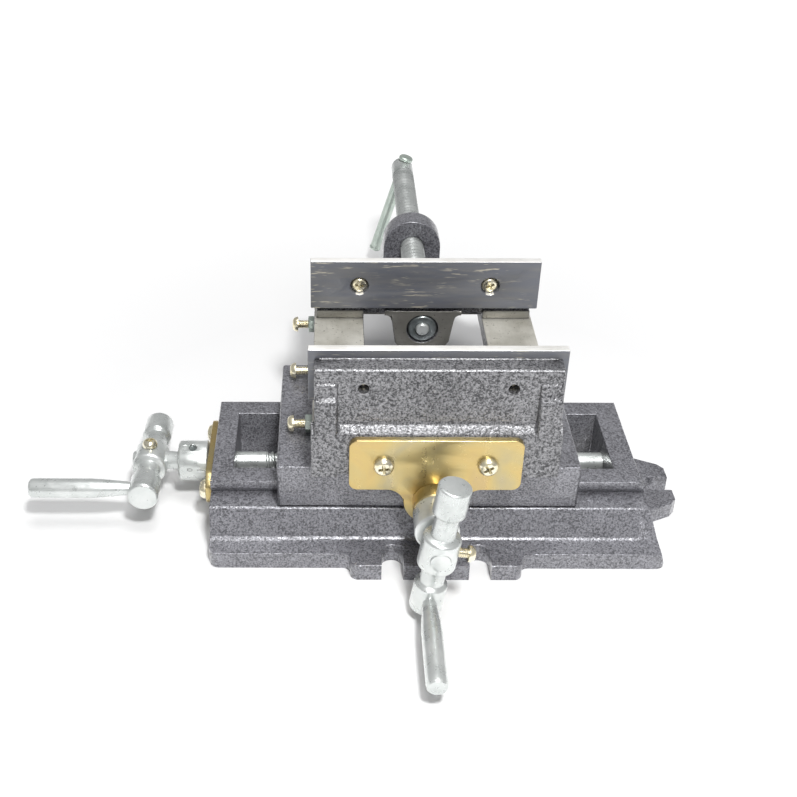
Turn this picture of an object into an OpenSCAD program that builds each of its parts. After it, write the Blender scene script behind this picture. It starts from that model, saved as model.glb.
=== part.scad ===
// Cross slide vise: a small drill press vise on two crossed dovetail slides.
// The frame sits at the middle of the base underside, X to the right, Y to the back, Z up.

/* [Jaws] */
// Width of both jaw plates
jaw_width = 100; // [96:1:108]
// Height of both jaw plates
plate_height = 23; // [20:0.5:26]
// Thickness of both jaw plates
plate_thick = 4; // [3.5:0.25:5]
// Opening between the plates as drawn
jaw_open = 69; // [40:1:95]

/* [Base] */
// Height of the base dovetail top above the table
base_top = 28.4; // [27:0.2:31]
// Length of the base dovetail top
base_length = 179; // [174:1:190]
// Width of the base over its flanges
base_width = 102; // [98:1:108]
// Width of the base dovetail top
way_width = 59.4; // [57:0.2:61]

/* [Saddle and body] */
// Length of the saddle along X
saddle_length = 122.8; // [118:0.2:126]
// Width of the saddle along Y
saddle_width = 77; // [76:0.5:80]
// Height of the vise rails above the saddle
rail_height = 22.4; // [22:0.2:25]
// Length of the vise body behind the fixed jaw
body_length = 163.4; // [160:0.2:175]

/* [Screws and cranks] */
// Diameter of both leadscrews
lead_d = 8; // [7:0.25:8.5]
// Diameter of the vise screw
vise_d = 12; // [11:0.25:12.5]
// Reach of the crank handles from the screw axis
crank_reach = 22; // [20:0.5:24]
// Length of the crank handles from the arm axis
handle_length = 49; // [42:1:56]
// Diameter of the graduated dials
dial_d = 17.6; // [16.5:0.1:18.4]

/* [Clearances] */
// Gap between sliding dovetail faces
slide_gap = 0.2; // [0.15:0.01:0.3]
// Radial gap of a turning shaft in its bearing
run_fit = 0.05; // [0.03:0.01:0.08]
// Radial gap of a screw in its hole
hole_fit = 0.2; // [0.15:0.01:0.3]

/* [Hidden] */
$fn = 64;
tan_dove = tan(30);
way_land = 3.3;
tail_land = 1.2;
gib_w = 3;

// Heights
ledge = base_top - 6.5;
skirt = ledge + 0.8;
saddle_top = base_top + 14.2;
body_low = saddle_top + slide_gap;
tail_h = 8;
ceiling = saddle_top + tail_h + slide_gap + 0.1;
rail_top = saddle_top + rail_height;
lip_low = rail_top - 7.5;
plate_low = rail_top + 6.5;
jaw_top = plate_low + plate_height;
wall_top = jaw_top - 3.6;
x_z = base_top - 11.4;
y_z = base_top + 5.1;
vise_z = rail_top - 5;
channel_low = saddle_top + 2.2;

// Base
base_x0 = -93;
base_x1 = base_x0 + base_length;
end_draft = 9;
base_half = base_width / 2;
wall_half = base_half - 8.5;
ledge_half = wall_half - 3.9;
flange_h = 7.5;
way_half = way_width / 2;
way_neck = way_half - (base_top - way_land - ledge) * tan_dove;
win_half = way_half - 9.7;
win_x0 = base_x0 + 9;
win_x1 = base_x1 - 10;
slot_w = 9;
slot_x = 17.8;
lug_half = 35;
lug_out = 7;
lug_round = 3.2;
lug_sweep = 3;
end_slot_y = -3;

// Saddle and body
body_x = -2;
saddle_x = body_x - 1.5;
saddle_x0 = saddle_x - saddle_length / 2;
saddle_x1 = saddle_x + saddle_length / 2;
saddle_half = saddle_width / 2;
tail_neck = jaw_width / 2 - 14.5;
tail_half = tail_neck + (tail_h - tail_land) * tan_dove;
body_half = jaw_width / 2 - 1.5;
wall_w = jaw_width / 2 - 2.5;
rib_w = 8.9;
rib_step = 1.3;
rail_in = 26.5;
fixed_face = -29.4;
wall_in = fixed_face - plate_thick;
wall_out = wall_in - 8.5;
apron = wall_out - 3.6;
apron_top = rail_top - 2;
body_y1 = fixed_face + body_length;
arch_t = 12;
arch_y = body_y1 - arch_t;
arch_r = vise_d / 2 + 8.3;
rail_y1 = arch_y - 21;
bridge_y0 = rail_y1 + 8;
bridge_top = saddle_top + 4.9;
bridge_low = saddle_top - 6.6;
bridge_half = arch_r + 7;
slot_end = rail_y1 - 11;
neck_gap = 1.4;
lug_gap = 17;
pad_x = 28.6;
pad_z = plate_low + plate_height / 2 - 0.5;
gib_z = saddle_top + 4.2;
gib_y = [apron + 31.5, apron + 72.5, apron + 113.5];
rear_gib_z = ledge + 3.9;
small_r = 1.5;
gib_r = 2;
dog_r = 1.2;
dog_l = 2.6;
rear_gib_x = [-38, -13, 38];

// Brackets, screws and cranks
lead_r = lead_d / 2;
brk_t = 3;
brk_screw = 20.4;
brk_z = body_low + 8.2;
brk_top = apron_top - 0.2;
brk_half = 33.9;
brk_low = brk_top - 23.8;
stem_r = 12;
bush_l = 7.2;
dial_l = 12.8;
collar_r = lead_r + 2.5;
collar_l = 3.6;
arm_hub = 7.5;
x_brk = base_x0;
x_dial_0 = x_brk - brk_t - 0.6;
x_arm = x_dial_0 - dial_l - 12.6;
y_brk = apron;
y_dial_0 = y_brk - brk_t - bush_l - 0.3;
y_arm = y_dial_0 - dial_l - 9.2;
x_turn = -4;
y_turn = 8;
y_rear = saddle_half + 9;
x_nut_x = body_x - 25;
nut_half = 8;

// Moving jaw
grip = fixed_face + jaw_open;
jaw_back = plate_thick + 38.4;
lug_y0 = 1.4;
lug_y1 = 24.4;
lug_r = 14.3;
nose_r = vise_d / 2 - 2;
pin_r = vise_d / 2 - 3;
nose_collar_r = vise_d / 2 + 0.5;
nose_collar_l = 5;
bar_y = 182.4;
screw_end = bar_y + 4.6;
bar_r = 3;
bar_lean = 16.2;
bar_down = 52.8;

paint = [0.36, 0.37, 0.40];
bare = [0.66, 0.65, 0.60];
slate = [0.33, 0.34, 0.37];
gold = [0.84, 0.74, 0.47];
zinc = [0.84, 0.87, 0.86];
olive = [0.55, 0.60, 0.55];

// A profile in Y and Z run along X
module xprism(x0, x1) {
    translate([x0, 0, 0]) rotate([90, 0, 90]) linear_extrude(x1 - x0) children();
}

// A profile in X and Z run along Y
module yprism(y0, y1) {
    translate([0, y1, 0]) rotate([90, 0, 0]) linear_extrude(y1 - y0) children();
}

module xcyl(x0, x1, r, y, z) {
    translate([x0, y, z]) rotate([0, 90, 0]) cylinder(h = x1 - x0, r = r);
}

module ycyl(y0, y1, r, x, z) {
    translate([x, y0, z]) rotate([-90, 0, 0]) cylinder(h = y1 - y0, r = r);
}

module zcyl(z0, z1, r, x, y) {
    translate([x, y, z0]) cylinder(h = z1 - z0, r = r);
}

module box(a, b) {
    translate(a) cube([b[0] - a[0], b[1] - a[1], b[2] - a[2]]);
}

// A rounded rectangle drawn from its own circles
module round_rect(x0, y0, x1, y1, r) {
    translate([x0 + r, y0]) square([x1 - x0 - 2 * r, y1 - y0]);
    translate([x0, y0 + r]) square([x1 - x0, y1 - y0 - 2 * r]);
    for (x = [x0 + r, x1 - r], y = [y0 + r, y1 - r]) translate([x, y]) circle(r);
}

// A pan head screw along local Z, its head seated at z = 0 and its shank below
module pan_screw(r, l, head_r, head_h) {
    rotate_extrude() polygon([[0, -l], [r - 0.3, -l], [r, -l + 0.3], [r, 0], [head_r, 0],
        [head_r, head_h * 0.45], [head_r * 0.8, head_h * 0.85], [head_r * 0.45, head_h], [0, head_h]]);
}

// A gib screw along local Z like the pan head, with a dog point at its tip
module gib_screw(r, l, head_r, head_h) {
    rotate_extrude() polygon([[0, -l], [dog_r - 0.2, -l], [dog_r, -l + 0.2], [dog_r, -l + dog_l], [r - 0.3, -l + dog_l],
        [r, -l + dog_l + 0.3], [r, 0], [head_r, 0], [head_r, head_h * 0.45], [head_r * 0.8, head_h * 0.85],
        [head_r * 0.45, head_h], [0, head_h]]);
}

// A lock nut along local Z with its bore
module lock_nut(r, flat, h) {
    difference() {
        cylinder(h = h, r = flat / 2 / cos(30), $fn = 6);
        translate([0, 0, -1]) cylinder(h = h + 2, r = r);
    }
}

// Base dovetail section
module way_section(g, top_g, rear_g, low) {
    polygon([[-way_neck - g, low], [-way_neck - g, ledge], [-way_half - g, base_top - way_land],
        [-way_half - g, base_top + top_g], [way_half + rear_g, base_top + top_g],
        [way_half + rear_g, base_top - way_land], [way_neck + rear_g, ledge], [way_neck + rear_g, low]]);
}

// Saddle dovetail section about the body centre line
module tail_section(left_g, right_g, top_g, low) {
    polygon([[-tail_neck - left_g, low], [-tail_neck - left_g, saddle_top],
        [-tail_half - left_g, saddle_top + tail_h - tail_land], [-tail_half - left_g, saddle_top + tail_h + top_g],
        [tail_half + right_g, saddle_top + tail_h + top_g], [tail_half + right_g, saddle_top + tail_h - tail_land],
        [tail_neck + right_g, saddle_top], [tail_neck + right_g, low]]);
}

// Bolting lug with two open slots, at the front of the base
module front_lug() {
    linear_extrude(flange_h) {
        translate([-lug_half + lug_round, -base_half - lug_out]) square([2 * (lug_half - lug_round), lug_out + 4]);
        translate([-lug_half, -base_half - lug_out + lug_round]) square([2 * lug_half, lug_out - lug_round + 4]);
        for (s = [-1, 1]) {
            translate([s * (lug_half - lug_round), -base_half - lug_out + lug_round]) circle(lug_round);
            difference() {
                translate([s * (lug_half + lug_sweep / 2), -base_half]) square([lug_sweep + 0.2, 2 * lug_sweep], center = true);
                translate([s * (lug_half + lug_sweep), -base_half - lug_sweep]) circle(lug_sweep);
            }
        }
    }
}

module front_slots() {
    for (s = [-1, 1]) {
        box([s * slot_x - slot_w / 2, -base_half - lug_out - 1, -1], [s * slot_x + slot_w / 2, -base_half + 0.5, 14]);
        zcyl(-1, 14, slot_w / 2, s * slot_x, -base_half + 0.5);
    }
}

module base_casting() color(paint) difference() {
    union() {
        intersection() {
            xprism(base_x0, base_x1 + end_draft) polygon([[-base_half, 0], [base_half, 0], [base_half, flange_h],
                [wall_half, flange_h + 1.3], [ledge_half, ledge], [way_neck, ledge],
                [way_half, base_top - way_land], [way_half, base_top], [-way_half, base_top],
                [-way_half, base_top - way_land], [-way_neck, ledge], [-ledge_half, ledge],
                [-wall_half, flange_h + 1.3], [-base_half, flange_h]]);
            yprism(-base_half - 1, base_half + 1) polygon([[base_x0 - 1, -1], [base_x1 + end_draft, -1],
                [base_x1 + end_draft, 0], [base_x1, base_top], [base_x1, base_top + 1], [base_x0 - 1, base_top + 1]]);
            translate([0, 0, -1]) linear_extrude(base_top + 3)
                round_rect(base_x0, -base_half, base_x1 + end_draft, base_half, 4);
        }
        front_lug();
        mirror([0, 1, 0]) front_lug();
        linear_extrude(flange_h) polygon([[base_x1 - 8, end_slot_y + 19], [base_x1 + 8, end_slot_y + 19],
            [base_x1 + 18.5, end_slot_y + 14], [base_x1 + 21, end_slot_y + 11], [base_x1 + 21, end_slot_y - 11],
            [base_x1 + 18.5, end_slot_y - 14], [base_x1 + 8, end_slot_y - 19], [base_x1 - 8, end_slot_y - 19]]);
    }
    front_slots();
    mirror([0, 1, 0]) front_slots();
    box([base_x1 + 13, end_slot_y - slot_w / 2, -1], [base_x1 + 30, end_slot_y + slot_w / 2, 12]);
    zcyl(-1, 12, slot_w / 2, base_x1 + 13, end_slot_y);
    box([win_x0, -win_half, -1], [win_x1, win_half, base_top + 1]);
    xcyl(base_x0 - 1, win_x0 + 1, lead_r + 0.4, 0, x_z);
    xcyl(base_x0 - 1, base_x0 + collar_l + 0.4, collar_r + 0.4, 0, x_z);
    xcyl(win_x1 - 1, win_x1 + 6.5, lead_r + run_fit, 0, x_z);
    for (s = [-1, 1]) xcyl(base_x0 - 1, base_x0 + 8, 2.5 + hole_fit, s * brk_screw, x_z);
}

module x_bracket() color(gold) difference() {
    xprism(x_brk - brk_t, x_brk) round_rect(-27.2, x_z - 8, 27.2, x_z + 8, 5);
    xcyl(x_brk - brk_t - 1, x_brk + 1, lead_r + run_fit, 0, x_z);
    for (s = [-1, 1]) xcyl(x_brk - brk_t - 1, x_brk + 1, 2.5 + hole_fit, s * brk_screw, x_z);
}

module x_bracket_screws() color(gold)
    for (s = [-1, 1]) translate([x_brk - brk_t, s * brk_screw, x_z]) rotate([0, -90, 0]) pan_screw(2.5, 10, 4.1, 2.8);

// A leadscrew along local Z: 0 at the bracket face, the crank end above
module leadscrew(inner, outer) {
    rotate_extrude() polygon([[0, -inner], [lead_r - 0.8, -inner], [lead_r, -inner + 0.8], [lead_r, -collar_l - brk_t - 0.2],
        [collar_r, -collar_l - brk_t - 0.2], [collar_r, -brk_t - 0.2], [lead_r, -brk_t - 0.2],
        [lead_r, outer - 0.5], [lead_r - 0.5, outer], [0, outer]]);
}

module x_leadscrew() color(zinc)
    translate([x_brk - brk_t, 0, x_z]) rotate([0, -90, 0])
        leadscrew(win_x1 + 6 - (x_brk - brk_t), x_brk - brk_t - (x_arm - arm_hub) + 0.3);

// A dial along local Z from 0 to its length
module dial() {
    difference() {
        rotate_extrude() polygon([[lead_r + 0.1, 0], [dial_d / 2 - 0.4, 0], [dial_d / 2, 0.4], [dial_d / 2, dial_l - 0.8],
            [dial_d / 2 - 0.8, dial_l], [lead_r + 0.1, dial_l]]);
        translate([0, 0, dial_l / 2]) rotate([-90, 0, 0]) cylinder(h = dial_d, r = 1.5 + hole_fit);
    }
}

module grub() {
    translate([0, lead_r + 0.1, dial_l / 2]) rotate([-90, 0, 0]) cylinder(h = dial_d / 2 - lead_r - 1.2, r = 1.5);
}

module x_dial() color(zinc)
    translate([x_dial_0, 0, x_z]) rotate([-60, 0, 0]) rotate([0, -90, 0]) dial();

module x_dial_screw() color(olive)
    translate([x_dial_0, 0, x_z]) rotate([-60, 0, 0]) rotate([0, -90, 0]) grub();

// Turned crank arm along local Y: handle boss at minus Y, knob at plus Y, screw bore along Z
module crank_arm() {
    difference() {
        rotate([-90, 0, 0]) rotate_extrude() polygon([[0, -crank_reach - 7], [5.7, -crank_reach - 7], [6.5, -crank_reach - 6.2],
            [6.5, -crank_reach + 5.5], [5.6, -crank_reach + 6.4], [4.8, -crank_reach + 7], [4.8, -7.8], [6.9, -7.2],
            [arm_hub, -6.4], [arm_hub, 6.4], [6.9, 7.2], [4.8, 7.8], [4.8, 17.6], [5.8, 18.2], [6.4, 19],
            [6.4, 30.4], [5.8, 31], [0, 31]]);
        translate([0, 0, -10]) cylinder(h = 20, r = lead_r + 0.1);
        translate([0, -crank_reach, -2.5]) cylinder(h = 12, r = 2.7);
        rotate([0, 90, 0]) cylinder(h = 12, r = 2 + hole_fit);
    }
}

// Crank handle along local Z from inside the arm
module crank_handle() {
    rotate_extrude() polygon([[0, -2.5], [2.6, -2.5], [2.6, 6.7], [2.9, 7.2], [3.4, 12], [4, 18], [4.2, 23], [4.2, handle_length - 1.6],
        [3.7, handle_length - 0.5], [2.8, handle_length], [0, handle_length]]);
}

// Clamp screw across the hub, head outside
module crank_screw() {
    translate([arm_hub + 3.6, 0, 0]) rotate([0, 90, 0]) pan_screw(2, arm_hub + 3.6 - lead_r - 0.15, 3.3, 2.8);
}

module x_crank_place() {
    translate([x_arm, 0, x_z]) rotate([x_turn, 0, 0]) rotate([0, -90, 0]) children();
}

module x_crank_arm() color(zinc) x_crank_place() crank_arm();

module x_crank_handle() color(zinc) x_crank_place() translate([0, -crank_reach, 0]) crank_handle();

module x_crank_screw() color(gold) x_crank_place() crank_screw();

// Saddle: female dovetail below along X, male dovetail above along Y
module saddle_casting() color(paint) difference() {
    union() {
        box([saddle_x0, -saddle_half, skirt], [saddle_x1, saddle_half, saddle_top]);
        translate([body_x, 0, 0]) yprism(-saddle_half, saddle_half) tail_section(0, 0, 0, saddle_top - 1);
    }
    xprism(saddle_x0 - 1, saddle_x1 + 1) way_section(slide_gap, slide_gap, 2 * slide_gap + gib_w, skirt - 1);
    box([body_x - lug_gap, -saddle_half - 1, channel_low], [body_x + lug_gap, saddle_half + 1, saddle_top + 20]);
    ycyl(-saddle_half - 1, saddle_half + 1, lead_r + 0.6, body_x, y_z);
    ycyl(-saddle_half - 1, -saddle_half + 3, collar_r + 1, body_x, y_z);
    box([body_x - lead_r - 0.6, -way_half, base_top], [body_x + lead_r + 0.6, way_half, y_z]);
    box([body_x - 9.3, -nut_half - 0.3, base_top], [body_x + 9.3, nut_half + 0.3, y_z + 6.5]);
    zcyl(y_z, channel_low + 1, 2.5 + hole_fit, body_x, 0);
    zcyl(channel_low - 3, channel_low + 1, 4.5, body_x, 0);
    zcyl(base_top, y_z + 6.5, 6.3, x_nut_x, 0);
    zcyl(y_z, saddle_top + 20, 2.5 + hole_fit, x_nut_x, 0);
    zcyl(saddle_top, saddle_top + 20, 4.5, x_nut_x, 0);
    for (x = rear_gib_x) ycyl(way_neck, saddle_half + 1, small_r + hole_fit, saddle_x + x, rear_gib_z);
}

module x_nut() color(olive) difference() {
    union() {
        box([x_nut_x - nut_half - 1, -9, x_z - lead_r - 4], [x_nut_x + nut_half + 1, 9, base_top - 0.6]);
        zcyl(base_top - 1, y_z + 6.5, 6, x_nut_x, 0);
    }
    xcyl(x_nut_x - 20, x_nut_x + 20, lead_r + run_fit, 0, x_z);
    zcyl(base_top - 3, y_z + 8, 2.5 + hole_fit, x_nut_x, 0);
}

module x_nut_bolt() color(olive)
    translate([x_nut_x, 0, saddle_top]) pan_screw(2.5, saddle_top - base_top + 1, 4.1, 3.4);

module y_nut() color(olive) difference() {
    box([body_x - 9, -nut_half, base_top + slide_gap + 0.2], [body_x + 9, nut_half, y_z + 6.5]);
    ycyl(-20, 20, lead_r + run_fit, body_x, y_z);
    zcyl(y_z + lead_r + 0.3, y_z + 8, 2.5 + hole_fit, body_x, 0);
}

module y_nut_bolt() color(olive)
    translate([body_x, 0, channel_low - 3]) pan_screw(2.5, channel_low - 3 - (y_z + lead_r + 0.5), 4.1, 2.6);

// Gib between the rear of the base dovetail and the saddle
module x_gib() color(bare) difference() {
    xprism(saddle_x0 + 2, saddle_x1 - 2) polygon([
        [way_neck + slide_gap + 0.5 * tan_dove, ledge + 0.5],
        [way_half + slide_gap, base_top - way_land], [way_half + slide_gap, base_top - 0.2],
        [way_half + slide_gap + gib_w, base_top - 0.2], [way_half + slide_gap + gib_w, base_top - way_land],
        [way_neck + slide_gap + gib_w + 0.5 * tan_dove, ledge + 0.5]]);
    for (x = rear_gib_x) ycyl(gib_tip_y() - 0.1, gib_tip_y() + 8, dog_r + hole_fit, saddle_x + x, rear_gib_z);
}

function gib_tip_y() = way_half + slide_gap + gib_w - 1.2;

module x_gib_screws() color(gold)
    for (x = rear_gib_x) translate([saddle_x + x, saddle_half + 8, rear_gib_z]) rotate([-90, 0, 0])
        gib_screw(small_r, saddle_half + 8 - gib_tip_y(), 2.8, 2.2);

module x_gib_nuts() color(olive)
    for (x = rear_gib_x) translate([saddle_x + x, saddle_half, rear_gib_z]) rotate([-90, 0, 0])
        lock_nut(small_r + hole_fit, 5.5, 2.4);

// Vise body: two rails, the fixed jaw wall with its ribs, and the screw arch
module vise_body_casting() color(paint) translate([body_x, 0, 0]) difference() {
    union() {
        intersection() {
            xprism(-body_half, body_half) polygon([[wall_out, body_low], [rail_y1 - 10, body_low], [rail_y1, bridge_low],
                [body_y1, bridge_low], [body_y1, bridge_top - 1.5], [body_y1 - 1.5, bridge_top], [rail_y1 + 7, bridge_top],
                [rail_y1, rail_top], [wall_out, rail_top]]);
            translate([0, 0, bridge_low - 1]) linear_extrude(rail_top - bridge_low + 2) polygon([[-body_half, wall_out - 1],
                [body_half, wall_out - 1], [body_half, rail_y1], [bridge_half, body_y1], [-bridge_half, body_y1], [-body_half, rail_y1]]);
        }
        box([-wall_w, wall_out, body_low], [wall_w, wall_in, wall_top]);
        xprism(-body_half - 0.4, body_half + 0.4) polygon([[wall_out + 1, body_low], [apron, body_low], [apron, apron_top],
            [wall_out, apron_top + 3.8], [wall_out + 1, apron_top + 3.8]]);
        for (s = [-1, 1]) translate([s * (wall_w - rib_w / 2), 0, 0]) xprism(-rib_w / 2, rib_w / 2) polygon([[wall_out + 1, body_low],
            [apron, body_low], [apron, wall_top - 13.5], [wall_out - rib_step, wall_top - 10.5], [wall_out - rib_step, wall_top - 6.8],
            [wall_out, wall_top - 5.4], [wall_out + 1, wall_top - 5.4]]);
        ycyl(arch_y, body_y1, arch_r, 0, vise_z);
        box([-arch_r, arch_y, bridge_low + 1], [arch_r, body_y1, vise_z]);
    }
    box([-rail_in, fixed_face, body_low - 1], [rail_in, bridge_y0, rail_top + 1]);
    box([-rail_in - 5.5, fixed_face, ceiling - 1], [rail_in + 5.5, arch_y - 1, lip_low]);
    yprism(wall_out, slot_end) tail_section(2 * slide_gap + gib_w, slide_gap, slide_gap + 0.1, body_low - 1);
    box([-tail_neck - gib_w, apron - 1, body_low - 1], [tail_neck + slide_gap, wall_out + 0.5, body_low + neck_gap]);
    ycyl(arch_y - 1, body_y1 + 1, vise_d / 2 + run_fit, 0, vise_z);
    for (s = [-1, 1]) ycyl(wall_out - 5, wall_in + 1, 2 + hole_fit, s * pad_x, pad_z);
    for (s = [-1, 1]) ycyl(apron - 1, wall_out + 4, 2.5 + hole_fit, s * brk_screw, brk_z);
    for (y = gib_y) xcyl(-body_half - 3, -tail_neck, gib_r + hole_fit, y, gib_z);
}

// Jaw plate with its grip face at y = 0 looking toward minus Y
module jaw_plate() {
    difference() {
        box([-jaw_width / 2, 0, plate_low], [jaw_width / 2, plate_thick, jaw_top]);
        for (s = [-1, 1]) {
            ycyl(-1, plate_thick + 1, 2 + hole_fit, s * pad_x, pad_z);
            ycyl(-1, plate_thick - 1.4, 4.2, s * pad_x, pad_z);
        }
    }
}

module jaw_plate_screws(l) {
    for (s = [-1, 1]) translate([s * pad_x, plate_thick - 1.4, pad_z]) rotate([90, 0, 0]) pan_screw(2, l, 3.7, 2);
}

module fixed_jaw_plate() color(slate)
    translate([body_x, fixed_face, 0]) mirror([0, 1, 0]) jaw_plate();

module fixed_jaw_screws() color(gold)
    translate([body_x, fixed_face, 0]) mirror([0, 1, 0]) jaw_plate_screws(5);

function gib_tip_x() = -(tail_neck + slide_gap + gib_w + (gib_z - saddle_top) * tan_dove - 1.2);

// Gib between the left of the saddle dovetail and the body
module y_gib() color(bare) translate([body_x, 0, 0]) difference() {
    yprism(wall_out + 2, slot_end - 2) polygon([
        [-tail_neck - slide_gap - 0.6 * tan_dove, saddle_top + 0.6],
        [-tail_half - slide_gap, saddle_top + tail_h - tail_land], [-tail_half - slide_gap, saddle_top + tail_h - 0.2],
        [-tail_half - slide_gap - gib_w, saddle_top + tail_h - 0.2], [-tail_half - slide_gap - gib_w, saddle_top + tail_h - tail_land],
        [-tail_neck - slide_gap - gib_w - 0.6 * tan_dove, saddle_top + 0.6]]);
    for (y = gib_y) xcyl(gib_tip_x() - 8, gib_tip_x() + 0.1, dog_r + hole_fit, y, gib_z);
}

module y_gib_screws() color(gold)
    for (y = gib_y) translate([body_x - body_half - 8, y, gib_z]) rotate([0, -90, 0])
        gib_screw(gib_r, body_half + 8 + gib_tip_x(), 3.5, 2.6);

module y_gib_nuts() color(olive)
    for (y = [gib_y[0], gib_y[2]]) translate([body_x - body_half, y, gib_z]) rotate([0, -90, 0])
        lock_nut(gib_r + hole_fit, 6.6, 3.2);

// T-shaped bracket plate that carries the Y leadscrew below the body
module bracket_outline() {
    difference() {
        union() {
            round_rect(-brk_half, brk_low, brk_half, brk_top, 3.5);
            translate([0, y_z]) circle(stem_r);
            translate([-stem_r, y_z]) square([2 * stem_r, brk_low + 5 - y_z]);
            translate([-stem_r - 7, brk_low - 7]) square([2 * stem_r + 14, 8]);
        }
        for (s = [-1, 1]) translate([s * (stem_r + 7), brk_low - 7]) circle(7);
        for (s = [-1, 1]) translate([s * (stem_r + 7) - 7, brk_low - 15]) square([14, 8]);
    }
    translate([0, y_z]) circle(stem_r);
    translate([-stem_r, y_z]) square([2 * stem_r, brk_low + 5 - y_z]);
}

module y_bracket() color(gold) translate([body_x, 0, 0]) difference() {
    yprism(y_brk - brk_t, y_brk) bracket_outline();
    ycyl(y_brk - brk_t - 1, y_brk + 1, lead_r + run_fit, 0, y_z);
    for (s = [-1, 1]) ycyl(y_brk - brk_t - 1, y_brk + 1, 2.5 + hole_fit, s * brk_screw, brk_z);
}

module y_bracket_bush() color(gold) translate([body_x, y_brk - brk_t, y_z]) rotate([90, 0, 0]) difference() {
    rotate_extrude() polygon([[lead_r + run_fit, 0], [dial_d / 2 - 0.2, 0], [dial_d / 2 - 0.2, bush_l - 0.5],
        [dial_d / 2 - 0.7, bush_l], [lead_r + run_fit, bush_l]]);
}

module y_bracket_screws() color(gold)
    for (s = [-1, 1]) translate([body_x + s * brk_screw, y_brk - brk_t, brk_z]) rotate([90, 0, 0]) pan_screw(2.5, 6.2, 4.1, 2.8);

module y_leadscrew() color(zinc) translate([body_x, y_brk - brk_t, y_z]) rotate([90, 0, 0])
    leadscrew(y_rear - (y_brk - brk_t), y_brk - brk_t - (y_arm - arm_hub) + 0.3);

module y_dial() color(zinc)
    translate([body_x, y_dial_0, y_z]) rotate([90, 0, 0]) dial();

module y_dial_screw() color(olive)
    translate([body_x, y_dial_0, y_z]) rotate([90, 0, 0]) grub();

module y_crank_place() {
    translate([body_x, y_arm, y_z]) rotate([0, y_turn, 0]) rotate([90, 0, 0]) children();
}

module y_crank_arm() color(zinc) y_crank_place() crank_arm();

module y_crank_handle() color(zinc) y_crank_place() translate([0, -crank_reach, 0]) crank_handle();

module y_crank_screw() color(gold) y_crank_place() crank_screw();

module jaw_place() {
    translate([body_x, grip, 0]) children();
}

// Front of the lug, wider at the top and swept into the jaw above
module lug_outline() {
    polygon([[-lug_r, rail_top + 4.2], [lug_r, rail_top + 4.2], [lug_r, rail_top + 2], [lug_r - 2.2, vise_z - 7], [lug_r - 6, vise_z - 12],
        [-lug_r + 6, vise_z - 12], [-lug_r + 2.2, vise_z - 7], [-lug_r, rail_top + 2]]);
    for (s = [-1, 1]) difference() {
        translate([s * (lug_r + 0.9), rail_top + 2]) square([3.8, 5], center = true);
        translate([s * (lug_r + 2.3), rail_top - 0.5]) circle(2.5);
    }
}

// Moving jaw: a wall on two feet that ride the rails, and a lug between them for the screw nose
module moving_jaw_casting() color(paint) jaw_place() difference() {
    union() {
        xprism(-body_half + 1, body_half - 1) polygon([[plate_thick, rail_top + 2], [plate_thick, wall_top], [plate_thick + 7.5, wall_top],
            [plate_thick + 16, rail_top + 10], [jaw_back, rail_top + 6], [jaw_back, rail_top + 2]]);
        for (s = [-1, 1]) translate([s * (rail_in + body_half - 1) / 2, 0, 0])
            box([-(body_half - 1 - rail_in) / 2, plate_thick - 1.9, rail_top + slide_gap],
                [(body_half - 1 - rail_in) / 2, jaw_back, rail_top + 4.2]);
        box([-rail_in + 0.4, lug_y1, lip_low - 0.3], [rail_in - 0.4, jaw_back, rail_top + 3]);
        yprism(lug_y0, lug_y1 + 0.5) lug_outline();
    }
    ycyl(lug_y0 - 1, lug_y1 + 1, nose_r + run_fit, 0, vise_z);
    ycyl(lug_y0 - 1, lug_y0 + nose_collar_l + 0.4, nose_collar_r + 0.5, 0, vise_z);
    ycyl(lug_y1 + 0.3, jaw_back + 1, vise_d / 2 + 0.6, 0, vise_z);
    box([-vise_d / 2 - 0.6, lug_y1 + 0.3, lip_low - 2], [vise_d / 2 + 0.6, jaw_back + 1, vise_z]);
    for (s = [-1, 1]) ycyl(plate_thick - 1, plate_thick + 12, 2 + hole_fit, s * pad_x, pad_z);
    for (s = [-1, 1]) zcyl(lip_low - 2, rail_top + 1, 2 + hole_fit, s * 13, jaw_back - 8);
}

module moving_jaw_plate() color(slate) jaw_place() jaw_plate();

module moving_jaw_screws() color(gold) jaw_place() jaw_plate_screws(8);

module jaw_keepers() color(bare) jaw_place() difference() {
    for (s = [-1, 1]) translate([s * (vise_d / 2 + 1 + rail_in + 4.7) / 2, 0, 0])
        box([-(rail_in + 3.7 - vise_d / 2) / 2, jaw_back - 16, lip_low - 4], [(rail_in + 3.7 - vise_d / 2) / 2, jaw_back, lip_low - 0.3]);
    for (s = [-1, 1]) zcyl(lip_low - 6, lip_low, 2 + hole_fit, s * 13, jaw_back - 8);
}

module keeper_screws() color(gold) jaw_place()
    for (s = [-1, 1]) translate([s * 13, jaw_back - 8, lip_low - 4]) rotate([180, 0, 0]) pan_screw(2, 9, 3.4, 2);

// Spindle with its nose through the lug and a cross hole for the bar
module vise_screw() color(zinc) jaw_place() difference() {
    translate([0, 0, vise_z]) rotate([-90, 0, 0]) rotate_extrude() polygon([[0, lug_y0 - 0.8], [pin_r - 0.5, lug_y0 - 0.8], [pin_r, lug_y0 - 0.3],
        [pin_r, lug_y0 + nose_collar_l + 0.2], [nose_r, lug_y0 + nose_collar_l + 0.2], [nose_r, lug_y1 + 0.6],
        [vise_d / 2, lug_y1 + 0.6], [vise_d / 2, screw_end - 1.2], [vise_d / 2 - 1.5, screw_end], [0, screw_end]]);
    translate([0, bar_y, vise_z]) rotate([0, bar_lean, 0]) translate([0, 0, -10]) cylinder(h = 20, r = bar_r + 0.3);
}

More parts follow.
